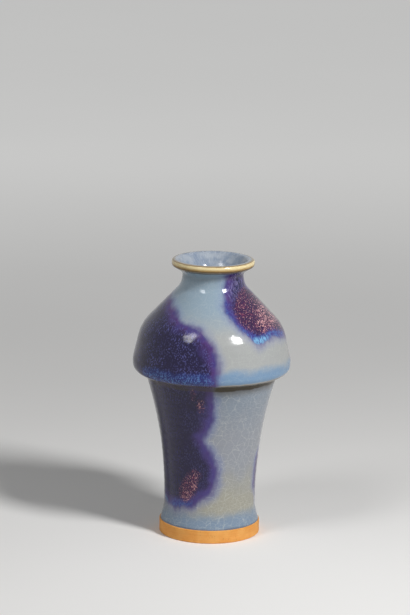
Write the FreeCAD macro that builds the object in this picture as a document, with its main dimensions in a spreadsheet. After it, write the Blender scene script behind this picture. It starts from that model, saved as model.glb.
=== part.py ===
"""A stepped meiping vase in glazed stoneware, thrown in sections that are luted together with slip.

Millimetres, +Z up. The origin is the centre of the foot, on the surface that the vase stands on.
Every piece is turned about the Z axis from one closed outline, where r is a distance from that axis and
z a height. The walls of the dome and the neck are the glazed outline moved inward, and down by drop_share
of that distance.
"""
import FreeCAD, Part
import os
from collections import namedtuple
from math import atan2, hypot, pi, tan

import Sketcher

SIZES = {
    # Foot ring, left unglazed
    "foot_spread": 3.4,
    "foot_height": 9.5,
    "foot_ring_width": 7.5,
    "foot_chamfer": 0.6,
    "foot_recess": 5.5,
    "foot_ledge": 0.6,
    # Lower body, from the narrow waist to the step under the dome
    "waist_radius": 32.6,
    "waist_rise": 15.5,
    "wall_rise": 93.0,
    "wall_flare": 14.7,
    "floor_thickness": 6.5,
    "floor_round": 8.0,
    # Dome that overhangs the lower body
    "step_overhang": 9.0,
    "edge_roll": 6.6,
    "belly_rise": 10.5,
    "belly_round": 12.0,
    "side_rise": 23.3,
    "shoulder_inset": 5.5,
    "shoulder_round": 30.0,
    "crown_rise": 29.3,
    "flange_thickness": 5.0,
    "flange_round": 4.0,
    # Neck and everted mouth
    "neck_radius": 20.9,
    "neck_spread": 2.3,
    "neck_rise": 9.4,
    "neck_cove": 10.0,
    "lip_cove": 5.0,
    "throat_cove": 5.0,
    "throat_round": 15.0,
    "lip_reach": 8.5,
    "lip_rise": 5.1,
    "lip_thickness": 4.4,
    "lip_width": 4.5,
    "mouth_round": 3.0,
    "lip_round_share": 0.45,
    # Walls, glaze coats and the slip in the joints
    "wall": 4.5,
    "drop_share": 0.4,
    "glaze": 0.8,
    "glaze_bead_share": 0.45,
    "lip_glaze": 0.4,
    "inner_glaze": 0.6,
    "lip_break_share": 0.6,
    "mouth_break_share": 0.35,
    "slip": 0.8,
    "neck_seam_drop": 5.0,
}
SHEET = "Sizes"
NEAR = 1e-6


class Size:
    """A length that knows both its number and the sheet expression that gives it."""

    def __init__(self, number, text):
        self.number = float(number)
        self.text = text

    @staticmethod
    def of(value):
        return value if isinstance(value, Size) else Size(value, repr(value))

    def joined(self, sign, other, number):
        return Size(number, f"({self.text} {sign} {Size.of(other).text})")

    def __add__(self, other):
        return self.joined("+", other, self.number + Size.of(other).number)

    def __sub__(self, other):
        return self.joined("-", other, self.number - Size.of(other).number)

    def __mul__(self, other):
        return self.joined("*", other, self.number * Size.of(other).number)

    def __truediv__(self, other):
        return self.joined("/", other, self.number / Size.of(other).number)


def cell(name):
    return Size(SIZES[name], f"{SHEET}.{name}")


# One corner of a closed outline. bend rounds the corner. run is the edge that leaves it: "line", or an arc
# whose centre is level with this corner ("arc from level") or with the next one ("arc to level").
Corner = namedtuple("Corner", "r z bend run", defaults=(None, "line"))
ZERO = Size(0, "0")

# Heights of the glazed outline, stacked from the floor up
FOOT_TOP = cell("foot_height")
WAIST = FOOT_TOP + cell("waist_rise")
STEP = WAIST + cell("wall_rise")
BELLY = STEP + cell("belly_rise")
SHOULDER = BELLY + cell("side_rise")
NECK = SHOULDER + cell("crown_rise")
LIP_COVE = NECK + cell("neck_rise")
LIP_UNDER = LIP_COVE + cell("lip_rise")
LIP_TOP = LIP_UNDER + cell("lip_thickness")
FLOOR_TOP = cell("foot_recess") + cell("floor_thickness")
DOME_SEAT = STEP + cell("slip")
FLANGE_TOP = DOME_SEAT + cell("flange_thickness")

# Radii of the glazed outline
FOOT_R = cell("waist_radius") + cell("foot_spread")
FOOT_BORE_R = FOOT_R - cell("foot_ring_width")
GLAZE_LINE_R = FOOT_R - cell("foot_ledge")
WAIST_R = cell("waist_radius")
RIM_R = WAIST_R + cell("wall_flare")
DOME_R = RIM_R + cell("step_overhang")
SHOULDER_R = DOME_R - cell("shoulder_inset")
NECK_R = cell("neck_radius") + cell("neck_spread")
LIP_COVE_R = cell("neck_radius")
LIP_R = LIP_COVE_R + cell("lip_reach")
MOUTH_R = LIP_R - cell("lip_width")

# How far each surface lies inside the glazed outline
CLAY = cell("glaze")
INSIDE = CLAY + cell("wall")
CAVITY = INSIDE + cell("inner_glaze")


def sunk(r, z, depth, bend=None):
    """A corner of the dome or neck, moved inward by depth and down by drop_share of it."""
    return Corner(r - depth, z - depth * cell("drop_share"), bend)


def on_line(start, end, share):
    """The sharp corner that lies at this share of the way between two corners."""
    return Corner(start.r + (end.r - start.r) * share, start.z + (end.z - start.z) * share)


def crown_cut(depth, above_seam):
    """The point where the neck joint crosses the crown's straight slope."""
    foot = sunk(SHOULDER_R, SHOULDER, depth)
    head = sunk(NECK_R, NECK, depth)
    height = cell("crown_rise") - cell("neck_seam_drop") + above_seam
    return on_line(foot, head, height / cell("crown_rise"))


def lower_wall_up(depth, foot_z):
    """Glazed outline of the lower body, moved inward by depth, from the glaze line up to the step."""
    return [
        Corner(GLAZE_LINE_R - depth, foot_z, None, "arc to level"),
        Corner(WAIST_R - depth, WAIST, None, "arc from level"),
        Corner(RIM_R - depth, STEP),
    ]


def lower_wall_down(depth):
    """The same wall from the step down to the waist."""
    return [
        Corner(RIM_R - depth, STEP, None, "arc to level"),
        Corner(WAIST_R - depth, WAIST),
    ]


def neck_up(depth):
    """The neck's outside, moved inward by depth, from the crown to under the lip."""
    return [
        sunk(NECK_R, NECK, depth, cell("neck_cove")),
        sunk(LIP_COVE_R, LIP_COVE, depth, cell("lip_cove")),
    ]


def throat_down(depth):
    """The neck's inside, from the mouth down to the crown."""
    return [
        sunk(LIP_COVE_R, LIP_COVE, depth, cell("throat_round")),
        sunk(NECK_R, NECK, depth, cell("throat_cove")),
    ]


def lip(cover):
    """The lip from under its edge, over its top and to the mouth's slope, with cover of glaze taken off."""
    bend = cell("lip_thickness") * cell("lip_round_share") - cover
    return [
        Corner(LIP_R - cover, LIP_UNDER + cover, bend),
        Corner(LIP_R - cover, LIP_TOP - cover, bend),
        Corner(MOUTH_R + cover, LIP_TOP - cover, cell("mouth_round")),
    ]


def lip_break(depth, cover):
    """Where the coat thins under the lip, on the line from the neck to the lip's edge."""
    return on_line(neck_up(depth)[-1], lip(cover)[0], cell("lip_break_share"))


def mouth_break(depth, cover):
    """Where the lip's thin coat meets the coat inside the mouth."""
    return on_line(lip(cover)[-1], throat_down(depth)[0], cell("mouth_break_share"))


def dome_up(depth, underside, roll):
    """The dome's outside, moved inward by depth, from its overhanging edge to its shoulder."""
    return [
        Corner(DOME_R - depth, underside, roll),
        sunk(DOME_R, BELLY, depth, cell("belly_round")),
        sunk(SHOULDER_R, SHOULDER, depth, cell("shoulder_round")),
    ]


def dome_inside_down(depth, flange_z):
    """The dome's inside, from its shoulder to the top of the flange that it sits on."""
    return [
        sunk(SHOULDER_R, SHOULDER, depth, cell("shoulder_round")),
        Corner(DOME_R - depth, flange_z, cell("flange_round")),
    ]


def foot_ring():
    """Turned ring that the vase stands on, with a bare ledge outside the glaze line."""
    return [
        Corner(FOOT_BORE_R, ZERO),
        Corner(FOOT_R, ZERO),
        Corner(FOOT_R, FOOT_TOP),
        Corner(FOOT_BORE_R, FOOT_TOP),
    ]


def lower_body():
    """Floor and flaring wall, with a boss that fills the foot ring."""
    return [
        Corner(ZERO, cell("foot_recess")),
        Corner(FOOT_BORE_R, cell("foot_recess")),
        Corner(FOOT_BORE_R, FOOT_TOP),
        *lower_wall_up(CLAY, FOOT_TOP),
        *lower_wall_down(INSIDE),
        Corner(WAIST_R - INSIDE, FLOOR_TOP, cell("floor_round")),
        Corner(ZERO, FLOOR_TOP),
    ]


def shoulder_slip():
    """Slip that bonds the dome to the lower body's rim."""
    return [
        Corner(RIM_R - INSIDE, STEP),
        Corner(RIM_R - CLAY, STEP),
        Corner(RIM_R - CLAY, DOME_SEAT),
        Corner(RIM_R - INSIDE, DOME_SEAT),
    ]


def shoulder_dome():
    """Bell-shaped cap: a flange that sits on the rim, a rolled edge, a leaning side and a sloping crown."""
    return [
        Corner(RIM_R - INSIDE, DOME_SEAT),
        *dome_up(CLAY, DOME_SEAT, cell("edge_roll") - cell("glaze")),
        crown_cut(CLAY, ZERO),
        crown_cut(INSIDE, ZERO),
        *dome_inside_down(INSIDE, FLANGE_TOP),
        Corner(RIM_R - INSIDE, FLANGE_TOP),
    ]


def neck_slip():
    """Slip in the bevelled joint between the dome and the neck."""
    return [
        crown_cut(CLAY, ZERO),
        crown_cut(CLAY, cell("slip")),
        crown_cut(INSIDE, cell("slip")),
        crown_cut(INSIDE, ZERO),
    ]


def neck_and_mouth():
    """Waisted neck that opens into an everted mouth with a rounded lip."""
    return [
        crown_cut(CLAY, cell("slip")),
        *neck_up(CLAY),
        *lip(cell("lip_glaze")),
        *throat_down(INSIDE),
        crown_cut(INSIDE, cell("slip")),
    ]


def lower_glaze():
    """Coat on the lower body, from the glaze line above the foot to the step."""
    return [*lower_wall_up(ZERO, FOOT_TOP), *reversed_run(lower_wall_up(CLAY, FOOT_TOP))]


def shoulder_glaze():
    """Coat on the dome and neck, from the step's underside to where it thins under the lip."""
    return [
        Corner(RIM_R - CLAY, STEP),
        *dome_up(ZERO, STEP, cell("edge_roll")),
        *neck_up(ZERO),
        lip_break(ZERO, ZERO),
        lip_break(CLAY, cell("lip_glaze")),
        *reversed(neck_up(CLAY)),
        *reversed(dome_up(CLAY, DOME_SEAT, cell("edge_roll") - cell("glaze"))),
        Corner(RIM_R - CLAY, DOME_SEAT),
    ]


def lip_glaze():
    """Thin coat over the lip, which lets the clay's colour through."""
    return [
        lip_break(ZERO, ZERO),
        *lip(ZERO),
        mouth_break(CAVITY, ZERO),
        mouth_break(INSIDE, cell("lip_glaze")),
        *reversed(lip(cell("lip_glaze"))),
        lip_break(CLAY, cell("lip_glaze")),
    ]


def inner_glaze():
    """Coat that was poured round the inside, from the mouth down over the whole floor."""
    cover = cell("inner_glaze")
    return [
        Corner(ZERO, FLOOR_TOP),
        Corner(WAIST_R - INSIDE, FLOOR_TOP, cell("floor_round")),
        *reversed_run(lower_wall_down(INSIDE)),
        Corner(RIM_R - INSIDE, FLANGE_TOP),
        *reversed(dome_inside_down(INSIDE, FLANGE_TOP)),
        *reversed(throat_down(INSIDE)),
        mouth_break(INSIDE, cell("lip_glaze")),
        mouth_break(CAVITY, ZERO),
        *throat_down(CAVITY),
        *dome_inside_down(CAVITY, FLANGE_TOP + cover),
        Corner(RIM_R - CAVITY, FLANGE_TOP + cover),
        *lower_wall_down(CAVITY),
        Corner(WAIST_R - CAVITY, FLOOR_TOP + cover, cell("floor_round")),
        Corner(ZERO, FLOOR_TOP + cover),
    ]


def reversed_run(corners):
    """A stretch of outline walked the other way, with each edge kept between the same two corners."""
    swapped = {"line": "line", "arc to level": "arc from level", "arc from level": "arc to level"}
    runs = [swapped[corner.run] for corner in corners[:-1]][::-1] + ["line"]
    return [corner._replace(run=run) for corner, run in zip(corners[::-1], runs)]


PIECES = {
    "foot_ring": foot_ring,
    "lower_body": lower_body,
    "shoulder_slip": shoulder_slip,
    "shoulder_dome": shoulder_dome,
    "neck_slip": neck_slip,
    "neck_and_mouth": neck_and_mouth,
    "lower_glaze": lower_glaze,
    "shoulder_glaze": shoulder_glaze,
    "lip_glaze": lip_glaze,
    "inner_glaze": inner_glaze,
}


def size_sheet(doc):
    """The sheet of driving sizes, one a row, each with its name as its alias."""
    sheet = doc.addObject("Spreadsheet::Sheet", SHEET)
    for row, (name, number) in enumerate(SIZES.items(), start=1):
        sheet.set(f"A{row}", name)
        sheet.set(f"B{row}", str(number))
        sheet.setAlias(f"B{row}", name)
    doc.recompute()


# An edge in the sketch: its number there, and which of its ends come first and last along the outline.
Edge = namedtuple("Edge", "number first last")
# Where a bend leaves the edge before its corner and joins the edge after it. A sharp corner has no centre.
Bend = namedtuple("Bend", "start end centre turns_left", defaults=(None, None))
# An edge's points and the sketch's own axes, as constraints number them: points from 1 up, axes from -1 down.
# The sketch's origin is the start of its level axis.
START, END, CENTRE = range(1, 4)
LEVEL_AXIS, UPRIGHT_AXIS = range(-1, -3, -1)


class Outline:
    """Draws one closed outline in a sketch, with every corner and bend tied to the sheet of sizes."""

    def __init__(self, sketch, corners):
        self.sketch = sketch
        self.corners = corners
        self.spots = [FreeCAD.Vector(corner.r.number, corner.z.number, 0) for corner in corners]
        self.marks = [self.mark(corner, spot) for corner, spot in zip(corners, self.spots)]
        self.bends = [self.bend(i) for i in range(len(corners))]
        self.edges = [self.edge(i) for i in range(len(corners))]
        for i, corner in enumerate(corners):
            if corner.bend:
                self.round_corner(i)

    def hold(self, *constraint):
        return self.sketch.addConstraint(Sketcher.Constraint(*constraint))

    def tie(self, size, *constraint):
        """A constraint whose length follows the sheet."""
        self.sketch.setExpression(f"Constraints[{self.hold(*constraint)}]", size.text)

    def mark(self, corner, spot):
        """A construction point, held at the corner's own radius and height."""
        number = self.sketch.addGeometry(Part.Point(spot), True)
        if spot.x > NEAR:
            self.tie(corner.r, "DistanceX", LEVEL_AXIS, START, number, START, spot.x)
        else:
            self.hold("PointOnObject", number, START, UPRIGHT_AXIS)
        if spot.y > NEAR:
            self.tie(corner.z, "DistanceY", LEVEL_AXIS, START, number, START, spot.y)
        else:
            self.hold("PointOnObject", number, START, LEVEL_AXIS)
        return number

    def following(self, i):
        return (i + 1) % len(self.corners)

    def bend(self, i):
        """The bend at a corner, which lies between two straight edges."""
        here = self.spots[i]
        if self.corners[i].bend is None:
            return Bend(here, here)
        before = (self.spots[i - 1] - here).normalize()
        after = (self.spots[self.following(i)] - here).normalize()
        radius = self.corners[i].bend.number
        reach = radius / tan(before.getAngle(after) / 2)
        centre = here + (before + after).normalize() * hypot(radius, reach)
        return Bend(here + before * reach, here + after * reach, centre, before.cross(after).z < 0)

    def arc(self, start, end, centre, turns_left):
        """An arc from start to end along the outline. The sketch keeps every arc anticlockwise."""
        angles = [atan2(spot.y - centre.y, spot.x - centre.x) for spot in (start, end)]
        if not turns_left:
            angles.reverse()
        if angles[1] < angles[0]:
            angles[1] += 2 * pi
        circle = Part.Circle(centre, FreeCAD.Vector(0, 0, 1), (start - centre).Length)
        number = self.sketch.addGeometry(Part.ArcOfCircle(circle, *angles))
        return Edge(number, START, END) if turns_left else Edge(number, END, START)

    def edge(self, i):
        """The edge that leaves corner i, shortened by the bends at its ends."""
        following = self.following(i)
        start, end = self.bends[i].end, self.bends[following].start
        run = self.corners[i].run
        if run == "line":
            edge = Edge(self.sketch.addGeometry(Part.LineSegment(start, end)), START, END)
        else:
            level, other = (i, end) if run == "arc from level" else (following, start)
            spot = self.spots[level]
            across = other.x - spot.x
            centre = spot + FreeCAD.Vector(((other.y - spot.y) ** 2 + across ** 2) / (2 * across), 0, 0)
            edge = self.arc(start, end, centre, (start - centre).cross(end - centre).z > 0)
            self.hold("Horizontal", edge.number, CENTRE, self.marks[level], START)
        for corner, tip in ((i, edge.first), (following, edge.last)):
            if self.corners[corner].bend:
                self.hold("PointOnObject", self.marks[corner], START, edge.number)
            else:
                self.hold("Coincident", edge.number, tip, self.marks[corner], START)
        return edge

    def round_corner(self, i):
        """The arc at a corner, tangent to the edges on both sides of it."""
        before, after, size = self.edges[i - 1], self.edges[i], self.corners[i].bend
        arc = self.arc(*self.bends[i])
        self.hold("Tangent", before.number, before.last, arc.number, arc.first)
        self.hold("Tangent", arc.number, arc.last, after.number, after.first)
        self.tie(size, "Radius", arc.number, size.number)


def turned(doc, name, corners):
    """A body made by turning one outline about the vase's axis."""
    body = doc.addObject("PartDesign::Body", name)
    body.Label = name
    sketch = body.newObject("Sketcher::SketchObject", name + "_outline")
    plane = next(feature for feature in body.Origin.OriginFeatures if feature.Role == "XZ_Plane")
    sketch.AttachmentSupport = [(plane, "")]
    sketch.MapMode = "FlatFace"
    Outline(sketch, corners)
    doc.recompute()
    revolution = body.newObject("PartDesign::Revolution", name + "_turned")
    revolution.Profile = sketch
    revolution.ReferenceAxis = (sketch, ["V_Axis"])
    doc.recompute()
    return body


def round_edge(body, r, z):
    """Name of the round edge of a body at this radius and height."""
    for number, edge in enumerate(body.Shape.Edges, start=1):
        curve = edge.Curve
        if isinstance(curve, Part.Circle) and abs(curve.Radius - r.number) < NEAR:
            if abs(curve.Center.z - z.number) < NEAR:
                return f"Edge{number}"
    raise ValueError(f"{body.Label} has no round edge at radius {r.number} and height {z.number}")


def soften(doc, body, kind, size_name, size, places):
    """A fillet or chamfer on the round edges at these places, its size tied to the sheet."""
    base = (body.Tip, [round_edge(body, *place) for place in places])
    feature = body.newObject("PartDesign::" + kind, f"{body.Label}_{kind.lower()}")
    feature.Base = base
    feature.setExpression(size_name, size.text)
    doc.recompute()


def check(doc, bodies):
    """Stops before anything is written if a feature failed, a sketch is loose or a solid isn't whole."""
    for thing in doc.Objects:
        if "Invalid" in thing.State or "Error" in thing.State:
            raise RuntimeError(f"{thing.Label} failed: {thing.State}")
        if thing.isDerivedFrom("Sketcher::SketchObject"):
            if thing.solve() != 0 or not thing.FullyConstrained:
                raise RuntimeError(f"{thing.Label} isn't fully constrained")
    for body in bodies:
        shape = body.Shape
        if shape.isNull() or not shape.isValid() or len(shape.Solids) != 1:
            raise RuntimeError(f"{body.Label} isn't one valid solid")


def main():
    doc = FreeCAD.newDocument("vase")
    size_sheet(doc)
    bodies = {name: turned(doc, name, corners()) for name, corners in PIECES.items()}
    foot_edges = [(FOOT_R, ZERO), (FOOT_BORE_R, ZERO)]
    soften(doc, bodies["foot_ring"], "Chamfer", "Size", cell("foot_chamfer"), foot_edges)
    bead = cell("glaze") * cell("glaze_bead_share")
    soften(doc, bodies["lower_glaze"], "Fillet", "Radius", bead, [(GLAZE_LINE_R, FOOT_TOP)])
    check(doc, bodies.values())
    os.makedirs("parts", exist_ok=True)
    for name, body in bodies.items():
        body.Shape.exportStep(f"parts/{name}.step")
        print(f"{name}: {body.Shape.Volume:.1f} mm3, {len(body.Shape.Faces)} faces")


main()
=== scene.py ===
from math import ceil, cos, hypot, pi, radians, sin, tan

import bmesh
import bpy
import numpy as np
from mathutils import Color, Matrix, Vector, noise


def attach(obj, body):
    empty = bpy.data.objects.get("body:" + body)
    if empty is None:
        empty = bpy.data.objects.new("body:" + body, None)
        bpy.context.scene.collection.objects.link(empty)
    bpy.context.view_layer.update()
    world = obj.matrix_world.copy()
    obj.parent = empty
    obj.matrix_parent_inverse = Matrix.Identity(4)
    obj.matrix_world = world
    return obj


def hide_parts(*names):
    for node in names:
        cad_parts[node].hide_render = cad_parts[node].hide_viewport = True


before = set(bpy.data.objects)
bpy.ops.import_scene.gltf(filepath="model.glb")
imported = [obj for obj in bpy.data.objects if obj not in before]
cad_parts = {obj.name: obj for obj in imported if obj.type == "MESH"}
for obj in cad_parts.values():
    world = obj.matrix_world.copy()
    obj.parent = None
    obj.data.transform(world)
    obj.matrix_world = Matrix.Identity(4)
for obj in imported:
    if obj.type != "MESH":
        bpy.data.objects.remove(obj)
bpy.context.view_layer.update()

# Clay of the vase: buff stoneware, wheel-thrown in sections that are luted together with slip.
# It shows bare on the foot ring and inside the hollow under the base; the glaze hides the rest.
MM = 0.001


class Shade:
    """One output in a recipe for clay or glaze. Sums on it add their Math nodes to the recipe."""

    def __init__(self, tree, socket=None):
        self.tree, self.socket = tree, socket

    def node(self, kind, settings, values, out=0):
        """Adds a node of this kind: first its settings, then what each socket gets."""
        made = self.tree.nodes.new(kind)
        for name, value in settings.items():
            setattr(made, name, value)
        for name, value in values.items():
            if isinstance(value, Shade):
                self.tree.links.new(value.socket, made.inputs[name])
            else:
                made.inputs[name].default_value = value
        return Shade(self.tree, made.outputs[out] if made.outputs else None)

    def sum(self, operation, first, second):
        return self.node("ShaderNodeMath", {"operation": operation}, {0: first, 1: second})

    def __add__(self, other):
        return self.sum("ADD", self, other)

    def __radd__(self, other):
        return self.sum("ADD", other, self)

    def __sub__(self, other):
        return self.sum("SUBTRACT", self, other)

    def __rsub__(self, other):
        return self.sum("SUBTRACT", other, self)

    def __mul__(self, other):
        return self.sum("MULTIPLY", self, other)

    def rise(self, low, high):
        """0 below low and 1 above high, with a smooth passage between them."""
        ends = {"Value": self, "From Min": low, "From Max": high}
        return self.node("ShaderNodeMapRange", {"interpolation_type": "SMOOTHSTEP"}, ends)

    def over(self, under, top):
        """This mask lays the colour top over the colour under, in the Mix node's colour sockets."""
        return self.node("ShaderNodeMix", {"data_type": "RGBA"}, {0: self, 6: under, 7: top}, 2)

    def stretched(self, x, y, z):
        """This place, drawn out or pressed together along each axis."""
        return self.node("ShaderNodeVectorMath", {"operation": "MULTIPLY"}, {0: self, 1: (x, y, z)})

    def mottle(self, size, detail, roughness=0.5):
        """Cloudy patches of about this size in millimetres, from 0 to 1."""
        values = {"Vector": self, "Scale": 1 / (size * MM), "Detail": detail,
                  "Roughness": roughness}
        return self.node("ShaderNodeTexNoise", {}, values)


def colour(red, green, blue):
    """A colour as it is written on screen, 0 to 255, turned into the light that it sends back."""
    seen = Color((red / 255, green / 255, blue / 255))
    return (*seen.from_srgb_to_scene_linear(), 1.0)


def recipe(name):
    """A new material, and the place on the surface that its patterns start from."""
    material = bpy.data.materials.new(name)
    material.use_nodes = True
    material.node_tree.nodes.clear()
    place = Shade(material.node_tree).node("ShaderNodeTexCoord", {}, {}, "Object")
    return material, place


def fired(material, surface, relief=None, strength=0.5):
    """Closes a recipe with its surface, and with its relief in millimetres if it has one."""
    start = Shade(material.node_tree)
    if relief:
        bump = {"Height": relief, "Strength": strength, "Distance": MM}
        surface["Normal"] = start.node("ShaderNodeBump", {}, bump)
    shader = start.node("ShaderNodeBsdfPrincipled", {}, surface)
    start.node("ShaderNodeOutputMaterial", {}, {"Surface": shader})
    return material


def made_of(material, *nodes):
    """Gives these nodes of the CAD part their material."""
    for node in nodes:
        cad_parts[node].data.materials.clear()
        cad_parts[node].data.materials.append(material)


def bare_clay():
    """Orange-buff clay with faint rings from the wheel, pale grains and a few specks of iron."""
    material, place = recipe("bare stoneware")
    cloud = place.mottle(9, 3)
    grain = place.mottle(0.5, 2)
    iron = place.mottle(1.1, 1)
    rings = place.stretched(0.04, 0.04, 1).mottle(0.55, 1)
    buff = cloud.rise(0.3, 0.7).over(colour(222, 150, 70), colour(230, 166, 88))
    buff = (rings.rise(0.42, 0.62) * 0.15).over(buff, colour(196, 122, 48))
    buff = (grain.rise(0.55, 0.75) * 0.3).over(buff, colour(242, 194, 122))
    buff = (iron.rise(0.7, 0.76) * 0.5).over(buff, colour(120, 74, 36))
    surface = {"Base Color": buff, "Roughness": 0.62 + cloud * 0.2, "Specular IOR Level": 0.35}
    return fired(material, surface, grain * 0.05 + rings * 0.12, 0.8)


clay = bare_clay()
made_of(clay, "lower_body", "shoulder_dome", "neck_and_mouth", "foot_ring")


# Slip in the two seams: the same clay let down with water, which dries to a paler, smoother ring.
# It lies between the thrown sections, under the glaze.
def dried_slip():
    material, place = recipe("dried slip")
    cloud = place.mottle(3, 2)
    cream = cloud.rise(0.35, 0.65).over(colour(205, 178, 138), colour(190, 160, 118))
    return fired(material, {"Base Color": cream, "Roughness": 0.75 + cloud * 0.1}, cloud * 0.2)


made_of(dried_slip(), "shoulder_slip", "neck_slip")


# Foot ring: turned on the wheel once the clay had stiffened, so fine tool lines run round it.
# It is left bare to stand on in the kiln, and its two bottom edges are chamfered.
WELD = 1e-6  # Metres: points nearer to each other than this are one.
QUARTER_STEPS = 100  # Points round a quarter turn.
SWAY, SWAY_RATE = 0.22, 24  # How far a thrown wall is off true, in mm, and how often in a metre.
TREMOR, TREMOR_RATE = 0.06, 90  # The same for the smaller unevenness.
ELSEWHERE = Vector((7, 3, 1))  # Sets the smaller unevenness apart from the larger.
RING, RING_RATE = 0.035, 1.15  # Depth of the finger rings in mm, and radians in a mm of height.
RING_DRIFT, RING_DRIFT_RATE = 2, 9  # Radians by which the rings stray, and how often in a metre.
SETTLED = 9 * MM  # Up to this height the unevenness grows from nothing: the foot stands flat.
SHARP = radians(35)  # Edges that turn by more than this stay crisp.
FOOT_TOP = 9.5  # Height of the foot ring in mm, where the lower coat begins.


def closed_outline(form, corners):
    """Draws a closed outline in the XZ plane from corners (radius, height, bend, row) in mm.

    bend is the radius that rounds the corner, and row how far apart the points after it are."""
    spots = [Vector((radius, 0, height)) * MM for radius, height, bend, row in corners]
    bends = []
    for i, (here, (_, _, bend, row)) in enumerate(zip(spots, corners)):
        before = (spots[i - 1] - here).normalized()
        after = (spots[(i + 1) % len(spots)] - here).normalized()
        half = before.angle(after) / 2
        reach = bend * MM / tan(half)
        centre = here + (before + after).normalized() * hypot(bend * MM, reach)
        turn = (pi - 2 * half) * (-1 if before.cross(after).y > 0 else 1)
        steps = ceil(bend * abs(turn) / row)
        bends.append((here + before * reach, here + after * reach, centre, turn, steps, row * MM))
    pen = form.verts.new(bends[0][0])
    for i, (_, end, centre, turn, steps, row) in enumerate(bends):
        if steps:
            spun = bmesh.ops.spin(form, geom=[pen], cent=centre, axis=(0, 1, 0), angle=turn,
                                  steps=steps)
            pen = spun["geom_last"][0]
        following = bends[(i + 1) % len(bends)][0]
        cuts = ceil((following - end).length / row)
        for cut in range(cuts):
            pen = bmesh.ops.extrude_vert_indiv(form, verts=[pen])["verts"][0]
            pen.co = end.lerp(following, (cut + 1) / cuts)
    bmesh.ops.remove_doubles(form, verts=form.verts, dist=WELD)


def uneven(form):
    """Moves each point a little outward or inward, as the hand leaves thrown work."""
    for vert in form.verts:
        out = Vector((vert.co.x, vert.co.y, 0))
        if out.length > MM:
            sway = noise.noise(vert.co * SWAY_RATE) * SWAY
            tremor = noise.noise(vert.co * TREMOR_RATE + ELSEWHERE) * TREMOR
            drift = RING_DRIFT * noise.noise(vert.co * RING_DRIFT_RATE)
            ring = sin(vert.co.z / MM * RING_RATE + drift) * RING
            share = min(1.0, vert.co.z / SETTLED)
            vert.co += out.normalized() * (sway + tremor + ring) * MM * share


def turned(name, corners):
    """A piece turned about the vase's axis from a closed outline: one quarter, mirrored twice."""
    form = bmesh.new()
    closed_outline(form, corners)
    whole = form.verts[:] + form.edges[:]
    bmesh.ops.spin(form, geom=whole, cent=(0, 0, 0), axis=(0, 0, 1), angle=pi / 2,
                   steps=QUARTER_STEPS)
    for axis in "XY":
        whole = form.verts[:] + form.edges[:] + form.faces[:]
        bmesh.ops.mirror(form, geom=whole, matrix=Matrix(), merge_dist=WELD, axis=axis)
    bmesh.ops.remove_doubles(form, verts=form.verts, dist=WELD)
    bmesh.ops.recalc_face_normals(form, faces=form.faces)
    uneven(form)
    for face in form.faces:
        face.smooth = True
    mesh = bpy.data.meshes.new(name)
    form.to_mesh(mesh)
    form.free()
    mesh.set_sharp_from_angle(angle=SHARP)
    piece = bpy.data.objects.new(name, mesh)
    bpy.context.scene.collection.objects.link(piece)
    return piece


def seated(piece, material, node):
    """Gives a piece its material, and sets it on the vase in place of a node of the CAD part."""
    piece.data.materials.append(material)
    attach(piece, "root")
    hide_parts(node)


foot = turned("turned_foot", [
    (28.5, 0.6, 0, 1.0), (29.1, 0, 0, 1.2), (35.4, 0, 0, 0.3), (36.0, 0.6, 0, 0.25),
    (36.0, FOOT_TOP, 0.5, 0.3), (28.5, FOOT_TOP, 0, 1.2)])
seated(foot, clay, "foot_ring")


# Glaze coat on the lower body: opalescent milky blue, poured thick and left to run to the foot.
# Copper brushed under it has fired to violet, with crimson where it is thickest, and the whole
# coat is crackled.
STEP = 118  # Height of the step in mm, where the two outer coats meet.
FLARE, FLARE_BEND = 72.66, 301.5  # Height of the wall's long bend in mm, and its radius.
CRACK_WIDTH = 0.16  # In mm, where the crack fades out.
CRACK_BEND, CRACK_BEND_LENGTH = 2.2 * MM, 7 * MM  # How far a crack strays, and over what length.
WALL_RADIUS = 45 * MM  # Patterns that run down the wall are laid on a tube of this radius.


def smoothed(outline):
    """A closed line of (degrees, height) points with its corners cut twice."""
    line = np.array(outline, float)
    for cut in range(2):
        following = np.roll(line, -1, axis=0)
        nearer, farther = 0.75 * line + 0.25 * following, 0.25 * line + 0.75 * following
        line = np.stack([nearer, farther], 1).reshape(-1, 2)
    return line


def depth_inside(points, outline, profile):
    """How far each point lies inside an outline drawn on the vase, in mm. Outside is negative."""
    line = smoothed(outline)
    radius = np.interp(line[:, 1], profile[:, 1], profile[:, 0])
    angle = np.radians(line[:, 0])
    starts = np.stack([radius * np.sin(angle), -radius * np.cos(angle), line[:, 1]], 1)
    nearest = np.full(len(points), np.inf)
    for start, end in zip(starts, np.roll(starts, -1, axis=0)):
        run = end - start
        share = np.clip((points - start) @ run / (run @ run), 0, 1)
        away = np.linalg.norm(points - start - share[:, None] * run, axis=1)
        nearest = np.minimum(nearest, away)
    around = np.degrees(np.arctan2(points[:, 0], -points[:, 1]))
    height = points[:, 2]
    crossed = np.zeros(len(points), bool)
    for (a0, h0), (a1, h1) in zip(line, np.roll(line, -1, axis=0)):
        if h0 != h1:
            spans = (h0 > height) != (h1 > height)
            crossing = a0 + (a1 - a0) * (height - h0) / (h1 - h0)
            for lap in (-360, 0, 360):
                crossed ^= spans & (around + lap < crossing)
    return np.where(crossed, nearest, -nearest)


def marked(piece, marks, profile):
    """Stores on each point of a coat how far it lies inside the nearest outline of each mark.

    Outlines are drawn in (degrees to the right of the front, height in mm) on a profile of
    (radius, height) points, which follows the outside of the coat."""
    points = np.empty(len(piece.data.vertices) * 3)
    piece.data.vertices.foreach_get("co", points)
    points = points.reshape(-1, 3) / MM
    profile = np.array(profile)
    for name, outlines in marks.items():
        depth = np.max([depth_inside(points, outline, profile) for outline in outlines], axis=0)
        stored = piece.data.attributes.new(name, "FLOAT", "POINT")
        stored.data.foreach_set("value", depth.astype(np.float32))


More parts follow.
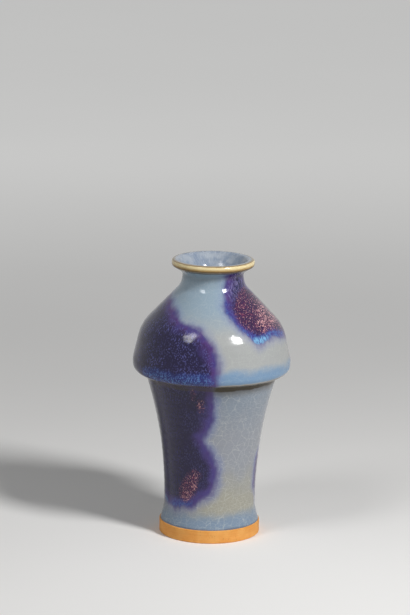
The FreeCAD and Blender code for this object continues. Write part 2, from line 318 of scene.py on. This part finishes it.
def drawn_out(place, share):
    """Places that change by this share as much down the wall, so that a pattern on them runs
    as the glaze did."""
    level = place.stretched(1, 1, 0)
    around = place.node("ShaderNodeVectorMath", {"operation": "NORMALIZE"}, {0: level})
    tube = {0: around, 1: (WALL_RADIUS, WALL_RADIUS, 0), 2: place.stretched(0, 0, share)}
    return place.node("ShaderNodeVectorMath", {"operation": "MULTIPLY_ADD"}, tube)


def crackle(place, size):
    """1 along the fine cracks of a network with cells of about this size in mm, 0 between them."""
    scale = {"Vector": place, "Scale": 1 / CRACK_BEND_LENGTH}
    stray = place.node("ShaderNodeTexNoise", {}, scale, "Color")
    bent = place.node("ShaderNodeVectorMath", {"operation": "MULTIPLY_ADD"},
                      {0: stray, 1: (CRACK_BEND, CRACK_BEND, CRACK_BEND), 2: place})
    cells = place.node("ShaderNodeTexVoronoi", {"feature": "DISTANCE_TO_EDGE"},
                       {"Vector": bent, "Scale": 1 / (size * MM)})
    return 1 - cells.rise(0.0, CRACK_WIDTH / size)


def height_of(place):
    """Height above the table in millimetres."""
    return place.node("ShaderNodeSeparateXYZ", {}, {0: place}, "Z") * (1 / MM)


def glaze(name, ground, broken_edge_and_shade, cracked):
    """A milky glaze over its ground colour, with the copper's violet, sky blue and crimson."""
    material, place = recipe(name)
    height = height_of(place)
    runs = drawn_out(place, 0.3)
    drift = place.mottle(11, 2)
    broad = place.mottle(6, 1)
    blotch = place.mottle(3.2, 2).rise(0.4, 0.62)
    ragged = runs.mottle(2.4, 3, 0.6)
    thread = runs.mottle(0.8, 1)
    fleck = drawn_out(place, 0.6).mottle(0.75, 1)
    grit = drawn_out(place, 0.8).mottle(0.75, 1, 0.7)
    fine = place.mottle(0.55, 1)

    def zone(mark, loose):
        """How far inside a mark's outline a place lies, in mm, with an edge this ragged."""
        depth = place.node("ShaderNodeAttribute", {"attribute_name": mark}, {}, "Fac")
        return depth + (ragged - 0.5) * loose

    # The copper: a blue haze round a violet halo, which is redder on the shoulder, and a dark
    # middle that is sprinkled with lilac.
    copper = zone("copper", 2.5) + (drift - 0.5) * 8
    upper = height.rise(105, 122)
    haze = copper.rise(-8, -1) * (0.5 - upper * 0.15)
    paint = haze.over(ground(place, drift), colour(104, 118, 168))
    redder = broad.rise(0.3, 0.7) * (0.3 + upper * 0.7)
    halo = redder.over(colour(62, 50, 116), colour(80, 50, 114))
    paint = copper.rise(-4, 2).over(paint, halo)
    paint = (copper + (broad - 0.5) * 8).rise(1, 10).over(paint, colour(22, 12, 56))
    lilac = fleck.rise(0.53, 0.64) * copper.rise(0.5, 5) * drift.rise(0.25, 0.55)
    paint = (lilac * (0.2 + upper * 0.3)).over(paint, colour(100, 102, 172))

    # Where it ran thin: sky-blue streaks, pale threads under the lip, and a pale tip on a run.
    sky = zone("sky", 5)
    blue = sky.rise(-2.5, 2.5) * copper.rise(-2, 1)
    paint = (blue * 0.5).over(paint, colour(36, 52, 138))
    streaks = blue * fleck.rise(0.46, 0.62) * (0.3 + sky.rise(1, 4) * 0.25)
    paint = streaks.over(paint, colour(84, 132, 188))
    threads = thread.rise(0.5, 0.66) * copper.rise(0, 3) * height.rise(172, 182)
    paint = (threads * 0.6).over(paint, colour(148, 138, 186))
    tip = zone("tip", 4).rise(-2, 2) * copper.rise(-2, 1)
    tip_streaks = tip * (0.14 + thread.rise(0.42, 0.58) * 0.62)
    paint = tip_streaks.over(paint, colour(128, 188, 222))

    # Where it lay thickest: crimson blotches with pink grains in them, thickest in the bloom.
    red = zone("crimson", 6).rise(-2, 2.5)
    bloom = zone("bloom", 7).rise(-6, 4)
    paint = (red * 0.85).over(paint, colour(44, 20, 62))
    blotches = red * grit.rise(0.46, 0.6) * (0.12 + blotch * 0.4 + bloom * 0.35)
    paint = blotches.over(paint, colour(132, 34, 74))
    grains = grit.rise(0.63 - bloom * 0.1, 0.7 - bloom * 0.08) * red
    paint = (grains * 0.9).over(paint, colour(234, 178, 176))

    # The crackle, in long cells and short ones, and milky specks: both only clear of the copper.
    plain = 1 - copper.rise(-4, 1)
    long = crackle(place.stretched(0.8, 0.8, 0.6), 5)
    short = crackle(place.stretched(0.8, 0.8, 1.6), 3)
    faint = place.mottle(14, 2).rise(0.35, 0.65)
    cracks = (long * (0.3 - faint * 0.16) + short * (0.08 + faint * 0.2)) * cracked * plain
    paint = cracks.over(paint, colour(206, 208, 200))
    paint = (fine.rise(0.6, 0.72) * 0.14 * plain).over(paint, colour(214, 216, 212))

    # The colours at the coat's edges, with the painted shade that lies under them.
    paint = broken_edge_and_shade(place, drift, plain, paint)
    surface = {"Base Color": paint, "Roughness": 0.1 + drift * 0.06, "IOR": 1.5}
    relief = drift * 0.4 + place.mottle(4.5, 1) * 0.15 + fine * 0.04 + fleck * 0.02 - cracks * 0.1
    return fired(material, surface, relief)


def lower_ground(place, drift):
    """Buff low on the wall, where the coat is thin, then grey, then milky blue up to the step.
    Just above the foot it gathers, and is bluest."""
    height = height_of(place)
    loose = height + (drift - 0.5) * 20
    milk = loose.rise(28, 62).over(colour(152, 150, 138), colour(139, 143, 151))
    milk = loose.rise(72, 112).over(milk, colour(126, 137, 150))
    gathered = 1 - (height + (drift - 0.5) * 8).rise(15, 24)
    return gathered.over(milk, colour(118, 136, 156))


def lower_edge_and_shade(place, drift, plain, paint):
    """Under the step the thin coat takes an olive-brown tint from the clay, and painted shade under
    the dome's overhang darkens the top of the wall. Just above the foot a dark line is painted
    shadow under the coat's rolled bottom edge.
    """
    edge = height_of(place) + (drift - 0.5) * 3
    # Brown fade below the step: the clay's tint through the thin coat, deepened with painted shade
    # under the dome's overhang.
    paint = (edge.rise(108, 115) * plain * 0.5).over(paint, colour(104, 94, 78))
    # Painted shadow: a dark line just above the foot, under the coat's rolled bottom edge.
    paint = ((1 - edge.rise(9.8, 11)) * 0.5).over(paint, colour(72, 72, 78))
    # Dark olive band at the top of the wall: mostly painted shade under the dome's overhang, over
    # the coat's olive tint.
    return (edge.rise(113.4, 114.6) * (0.6 + plain * 0.4)).over(paint, colour(58, 48, 24))


lower_marks = {
    "copper": [
        [(0.5, 122), (0.5, 114), (3.5, 104), (-1, 88.4), (-5, 80.5), (-11.5, 76), (-4, 72),
         (5.4, 61.6), (9.5, 50.2), (5, 38.9), (-6, 31.3), (-25.6, 25.1), (-55, 22), (-88, 27),
         (-112, 42), (-106, 60), (-116, 80), (-128, 98), (-132, 122)],
        [(70, 46), (71, 55), (77, 60), (84, 63), (93, 71), (101, 63), (105, 52), (99, 44),
         (97, 36), (90, 31), (86, 23), (81, 30), (74, 36)]],
    "crimson": [
        [(-12, 108), (-8, 107), (-7, 101), (-10, 97), (-13, 102)],
        [(-19, 115), (-15, 114), (-14, 108), (-18, 107)],
        [(-14, 46), (-12, 51), (-18, 54), (-28, 50), (-38, 42), (-42, 34), (-35, 28), (-26, 30),
         (-17, 38)]],
    "sky": [[(-60, 27), (-20, 31), (-28, 24), (-60, 21)]],
    "bloom": [
        [(-12, 46), (-11, 40), (-16, 38), (-20, 42), (-17, 47)],
        [(-22, 35), (-20, 29), (-32, 26), (-38, 30), (-32, 35)],
        [(-12, 106), (-9, 106), (-9, 98), (-12, 98)]],
    "tip": [[(-78, 28), (-66, 27), (-66, 24), (-78, 25)]]}
body_coat = turned("body_coat", [
    (34.6, FOOT_TOP, 0, 0.3), (35.4, FOOT_TOP, 0.35, 0.6), (32.6, 16.997, 44.3, 1.0),
    (32.6, FLARE, FLARE_BEND, 1.0), (47.3, STEP, 0, 1.0), (46.5, STEP, 0, 4.0),
    (31.8, FLARE, FLARE_BEND, 4.0), (31.8, 16.997, 44.3, 4.0)])
marked(body_coat, lower_marks, [
    (35.4, FOOT_TOP), (33.2, 17), (32.6, 25), (33.3, 45), (35.6, 67), (39.5, 90), (47.3, STEP)])
lower_coat = glaze("lower coat", lower_ground, lower_edge_and_shade, 1.0)
seated(body_coat, lower_coat, "lower_glaze")


# Glaze coat on the shoulder and neck: the same glaze, which pools milky over the shoulder and
# turns bluer as it thins. It broke away from the dome's rolled edge, where it leaves a cream line
# and then an olive one, which is darkened with painted shade where the roll turns under.
SURFACE_UNDER_LIP = (26.0, 193.56)  # Where it meets the lip's coat: radius and height in mm.
CLAY_UNDER_LIP = (25.44, 193.672)


def shoulder_ground(place, drift):
    """Milky grey on the shoulder, bluer round the dome's edge and up the neck."""
    loose = height_of(place) + (drift - 0.5) * 10
    milk = (1 - loose.rise(125, 134)).over(colour(160, 162, 161), colour(112, 143, 174))
    return loose.rise(150, 172).over(milk, colour(137, 156, 170))


def rolled_edge_and_shade(place, drift, plain, paint):
    """A cream line and then an olive one, where the coat drew back from the dome's edge. The olive
    line, where the roll turns under, is darkened with painted shade.
    """
    edge = height_of(place) + (drift - 0.5) * 1.5
    paint = ((1 - edge.rise(120.4, 121.4)) * plain * 0.8).over(paint, colour(166, 160, 148))
    # The olive line: thin glaze over the clay, darkened with painted shade where the roll turns
    # under.
    olive = (1 - edge.rise(119.4, 120.4)) * (0.6 + plain * 0.4)
    return olive.over(paint, colour(78, 66, 34))


shoulder_marks = {
    "copper": [
        [(-75, 174), (-53, 169.6), (-43, 164.9), (-33, 161.5), (-21, 159.4), (-11, 157.5),
         (-4, 152.2), (0.7, 145.8), (3.8, 139), (4.5, 131), (3.2, 121.6), (3, 100), (-140, 100),
         (-146, 128), (-140, 148), (-122, 164), (-98, 175)],
        [(24.4, 196), (24.7, 186.6), (16.3, 176), (16.6, 168.2), (20.8, 162.7), (26, 158.9),
         (32.4, 152.3), (36.6, 148), (42.6, 147.3), (50.2, 149), (59.4, 151.6), (76, 147.3),
         (96, 144), (110, 152), (114, 166), (100, 180), (92, 196)]],
    "crimson": [
        [(31, 174), (25, 169), (26, 162), (34, 156), (45, 152.5), (56, 154.5), (72, 152),
         (92, 149), (104, 160), (96, 173), (76, 182), (48, 181)]],
    "sky": [
        [(-62, 119), (-62, 126), (-42, 129), (-22, 127), (-8, 130), (2, 126), (2, 119)],
        [(14, 178), (19, 178), (20, 168), (25, 162), (33, 156), (40, 153), (50, 154), (60, 157),
         (78, 153), (84, 148), (76, 144), (50, 144), (34, 144), (20, 158), (13, 168)]],
    "bloom": [[(50, 155), (62, 157), (80, 156), (96, 160), (88, 169), (66, 168), (52, 163)]],
    "tip": [[(34, 151), (40, 151.5), (47, 152), (53, 151), (50, 147), (42, 145), (35, 146.5)]]}
shoulder_coat = turned("shoulder_coat", [
    (46.5, STEP, 0, 1.2), (56.3, STEP, 6.6, 0.6), (56.3, 128.5, 12, 0.9), (50.8, 151.8, 30, 0.9),
    (23.2, 181.1, 10, 0.9), (20.9, 190.5, 5, 0.6), (*SURFACE_UNDER_LIP, 0, 0.6),
    (*CLAY_UNDER_LIP, 0, 3.0), (20.1, 190.18, 5, 3.0), (22.4, 180.78, 10, 3.0),
    (50.0, 151.48, 30, 4.0), (55.5, 128.18, 12, 4.0), (55.5, 118.8, 5.8, 3.0),
    (46.5, 118.8, 0, 1.0)])
marked(shoulder_coat, shoulder_marks, [
    (46.5, STEP), (53.2, 119), (56.3, 124.6), (56.3, 128), (54, 139), (50.2, 150), (43, 160),
    (34, 170), (27, 177), (22.6, 183), (21, 189), (23, 192.3), (26, 193.6)])
upper_coat = glaze("shoulder coat", shoulder_ground, rolled_edge_and_shade, 0.45)
seated(shoulder_coat, upper_coat, "shoulder_glaze")


# Glaze on the lip: it drained off the rim in the kiln, so the coat is thin and the clay warms it
# to a buff cream, brown low on the outer edge. The darkest brown at the foot of the rim is partly
# painted shade, and the grey beneath the lip is painted shade.
SURFACE_IN_MOUTH = (21.435, 195.849)  # Where it meets the inner coat: radius and height in mm.
CLAY_IN_MOUTH = (21.905, 195.673)


def radius_of(place):
    """Distance from the vase's axis in millimetres."""
    level = place.stretched(1, 1, 0)
    length = place.node("ShaderNodeVectorMath", {"operation": "LENGTH"}, {0: level}, "Value")
    return length * (1 / MM)


def milk_inside(place):
    """The plain milky blue in the mouth, and its relief, for the lip's coat and the inner one."""
    drift = place.mottle(7, 2)
    streak = drawn_out(place, 0.5).mottle(1.1, 2)
    milk = drift.rise(0.3, 0.7).over(colour(122, 136, 156), colour(158, 166, 176))
    milk = (streak.rise(0.5, 0.66) * 0.25).over(milk, colour(192, 200, 208))
    return milk, drift * 0.4 + streak * 0.05


def thin_glaze():
    """Milky within the mouth, browner over the top, cream round the lip and brown below it,
    darkened at the foot of the rim and beneath the lip with painted shade.
    """
    material, place = recipe("thin lip glaze")
    drift = place.mottle(6, 3)
    fine = place.mottle(0.6, 2)
    height = height_of(place) + (drift - 0.5) * 0.8
    radius = radius_of(place) + (drift - 0.5) * 0.6
    edge = radius.rise(28.7, 29.1)
    paint, swell = milk_inside(place)
    paint = radius.rise(26.2, 28.0).over(paint, colour(150, 140, 120))
    paint = radius.rise(28.0, 28.5).over(paint, colour(146, 122, 86))
    paint = edge.over(paint, colour(226, 208, 160))
    paint = (edge * (1 - height.rise(196.8, 198.0))).over(paint, colour(170, 138, 82))
    # Dark brown where the rim turns under: the clay through the thin coat, deepened with painted
    # shade.
    paint = (edge * (1 - height.rise(195.8, 196.8))).over(paint, colour(84, 62, 30))
    # Painted shade: dark grey beneath the lip.
    shade_under_lip = (1 - height.rise(194.4, 195.4)) * radius.rise(25, 25.6)
    paint = shade_under_lip.over(paint, colour(96, 96, 92))
    paint = (fine.rise(0.55, 0.75) * edge * 0.3).over(paint, colour(140, 112, 66))
    surface = {"Base Color": paint, "Roughness": 0.14 + drift * 0.08, "IOR": 1.5}
    return fired(material, surface, swell + fine * 0.02)


lip_coat = turned("lip_coat", [
    (*SURFACE_UNDER_LIP, 0, 0.6), (29.4, 195.6, 1.98, 0.35), (29.4, 200, 1.98, 0.35),
    (24.9, 200, 3, 0.5), (*SURFACE_IN_MOUTH, 0, 0.6), (*CLAY_IN_MOUTH, 0, 2.0),
    (25.3, 199.6, 3, 1.0), (29.0, 199.6, 1.58, 0.8), (29.0, 196.0, 1.58, 0.8),
    (*CLAY_UNDER_LIP, 0, 0.6)])
seated(lip_coat, thin_glaze(), "lip_glaze")


# Glaze inside: poured in, swilled round and tipped out, so it covers everything from the mouth to
# the floor. It has no copper in it and stays a plain milky blue.
def inner_glaze():
    material, place = recipe("inner coat")
    paint, swell = milk_inside(place)
    surface = {"Base Color": paint, "Roughness": 0.12 + swell * 0.1, "IOR": 1.5}
    return fired(material, surface, swell)


inner_coat = turned("inner_coat", [
    (0, 12, 0, 6.0), (27.3, 12, 8, 3.0), (27.3, FLARE, FLARE_BEND, 6.0), (42.0, STEP, 0, 3.0),
    (42.0, 123.8, 0, 3.0), (51.0, 123.8, 4, 3.0), (45.5, 149.68, 30, 3.0), (17.9, 178.98, 5, 2.0),
    (15.6, 188.38, 15, 2.0), (*CLAY_IN_MOUTH, 0, 0.6), (*SURFACE_IN_MOUTH, 0, 0.6),
    (15.0, 188.14, 15, 0.6), (17.3, 178.74, 5, 0.8), (44.9, 149.44, 30, 2.0), (50.4, 124.4, 4, 2.0),
    (41.4, 124.4, 0, 2.0), (41.4, STEP, 0, 3.0), (26.7, FLARE, FLARE_BEND, 3.0),
    (26.7, 12.6, 8, 1.5), (0, 12.6, 0, 2.0)])
seated(inner_coat, inner_glaze(), "inner_glaze")


# The table that the vase stands on: pale matt board, wide enough to fill every view.
# Away from the vase the lamps no longer reach it, and there a glow that only the camera and
# reflections see keeps it pale.
HALF_TABLE = 12  # Metres.


def in_view(start):
    """1 for what the camera sees, also in a gloss or through glass, and 0 for light on things."""
    seen, mirrored, through = (start.node("ShaderNodeLightPath", {}, {}, f"Is {ray} Ray")
                               for ray in ("Camera", "Glossy", "Transmission"))
    return seen + mirrored + through


def pale_board():
    material, place = recipe("pale board")
    drift = place.mottle(400, 2)
    board = drift.rise(0.3, 0.7).over(colour(234, 233, 231), colour(237, 236, 234))
    glow = radius_of(place).rise(150, 1700).over(colour(0, 0, 0), colour(168, 168, 167))
    return fired(material, {"Base Color": board, "Roughness": 0.85 + drift * 0.05,
                            "Specular IOR Level": 0.0, "Emission Color": glow,
                            "Emission Strength": in_view(place)})


form = bmesh.new()
bmesh.ops.create_grid(form, x_segments=1, y_segments=1, size=HALF_TABLE)
table = bpy.data.objects.new("table", bpy.data.meshes.new("table"))
form.to_mesh(table.data)
form.free()
table.data.materials.append(pale_board())
bpy.context.scene.collection.objects.link(table)


# Studio light: one soft lamp at the right and a weaker one at the left, both in front and above,
# with even light from all round. The lamps shine in a cone, so that the table behind the vase
# isn't burnt out.
MIDDLE = Vector((0, 0, 0.1))  # The middle of the vase, in metres.
LAMP_DISTANCE = 1.4  # Metres from there to either lamp.
LAMP_SPREAD = radians(110)
COOL_WHITE = (0.97, 0.98, 1.0, 1.0)
EVEN_LIGHT = 0.16  # Strength of the light from all round.
BACKGROUND = 0.43  # What is added to it where the surroundings are seen.


def toward(around, up):
    """The way from the vase to a place so many degrees round to the right of its front, and up."""
    around, up = radians(around), radians(up)
    return Vector((sin(around) * cos(up), -cos(around) * cos(up), sin(up)))


def lamp(name, around, up, width, height, watts):
    """A soft oval lamp that shines on the middle of the vase, so many metres wide and high."""
    light = bpy.data.lights.new(name, "AREA")
    light.shape, light.size, light.size_y, light.energy = "ELLIPSE", width, height, watts
    light.spread = LAMP_SPREAD
    holder = bpy.data.objects.new(name, light)
    way = toward(around, up)
    aim = way.to_track_quat("Z", "Y").to_matrix().to_4x4()
    holder.matrix_world = Matrix.Translation(MIDDLE + way * LAMP_DISTANCE) @ aim
    bpy.context.scene.collection.objects.link(holder)


lamp("right_lamp", 46, 41, 0.26, 0.44, 6.0)
lamp("left_lamp", -43, 49, 0.36, 0.6, 1.5)
world = bpy.data.worlds.new("studio")
world.use_nodes = True
world.node_tree.nodes.clear()
start = Shade(world.node_tree)
strength = EVEN_LIGHT + in_view(start) * BACKGROUND
around = start.node("ShaderNodeBackground", {}, {"Color": COOL_WHITE, "Strength": strength})
start.node("ShaderNodeOutputWorld", {}, {"Surface": around})
bpy.context.scene.world = world
bpy.context.scene.view_settings.view_transform = "Standard"


# Camera: a long lens, a little above the vase and tilted down to it.
# It is aimed above the vase, which stands low in the picture, and leans by under a degree.
CAMERA_UP, CAMERA_DISTANCE = 14.284, 2.149  # Degrees, and metres from the middle of the vase.
SWING, TILT, LEAN = radians(0.1465), radians(90 - 12.61), radians(0.852)

camera = bpy.data.objects.new("camera", bpy.data.cameras.new("camera"))
camera.data.lens = 175.6
camera.data.clip_end = 100
camera.location = MIDDLE + toward(0, CAMERA_UP) * CAMERA_DISTANCE
aim = Matrix.Rotation(SWING, 4, "Z") @ Matrix.Rotation(TILT, 4, "X") @ Matrix.Rotation(LEAN, 4, "Z")
camera.rotation_euler = aim.to_euler()
bpy.context.scene.collection.objects.link(camera)
bpy.context.scene.camera = camera
